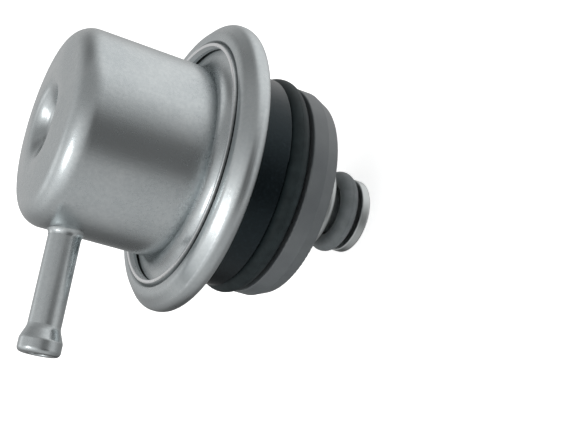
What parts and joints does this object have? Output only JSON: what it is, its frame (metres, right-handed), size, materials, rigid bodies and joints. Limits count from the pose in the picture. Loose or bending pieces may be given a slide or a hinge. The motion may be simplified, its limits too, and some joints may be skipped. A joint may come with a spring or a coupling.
{
  "type": "fuel pressure regulator",
  "caption": "Round sprung-diaphragm fuel pressure regulator with a drawn steel spring cup, side vacuum tube, rolled rim and sealed nose that plugs into a fuel rail.",
  "frame": {"origin": "on the regulator's axis, in the plane of the rolled rim's flat underside that seats on the fuel rail", "axes": "+Z along the axis towards the spring cup's closed face, the nose points along -Z, and +X along the vacuum tube towards its open end"},
  "size_m": [0.0465, 0.038, 0.0443],
  "materials": {
    "plated_steel": "satin grey plating on deep drawn sheet",
    "turned_steel": "bright turned and plated",
    "hard_steel": "ground and lapped",
    "pressed_steel": "plain pressed sheet",
    "spring_steel": "oiled spring wire",
    "black_plastic": "moulded, matte",
    "grey_plastic": "moulded, matte",
    "black_rubber": "matte",
    "grey_rubber": "matte"
  },
  "bodies": {
    "housing": {"upper_cup": "plated_steel", "vacuum_tube": "plated_steel", "tube_braze": "plated_steel", "lower_housing": "plated_steel", "nose_fitting": "turned_steel", "valve_seat": "hard_steel", "spacer_ring": "black_plastic", "large_o_ring": "black_rubber", "support_ring": "grey_plastic", "small_o_ring": "grey_rubber", "spring_cap": "pressed_steel", "main_spring": "spring_steel", "diaphragm": "black_rubber"},
    "valve": {"upper_plate": "pressed_steel", "lower_plate": "pressed_steel", "valve_holder": "pressed_steel", "ball_spring": "spring_steel", "valve_ball": "hard_steel", "ball_retainer": "hard_steel", "valve_plate": "hard_steel"}
  },
  "joints": [
    {"name": "valve_lift", "type": "slide", "parent": "housing", "child": "valve", "axis": [0, 0, 1], "range_m": [0, 0.0006], "stiffness_N_per_m": 400, "springref_m": -0.0005, "deforming": ["main_spring", "diaphragm"]}
  ]
}
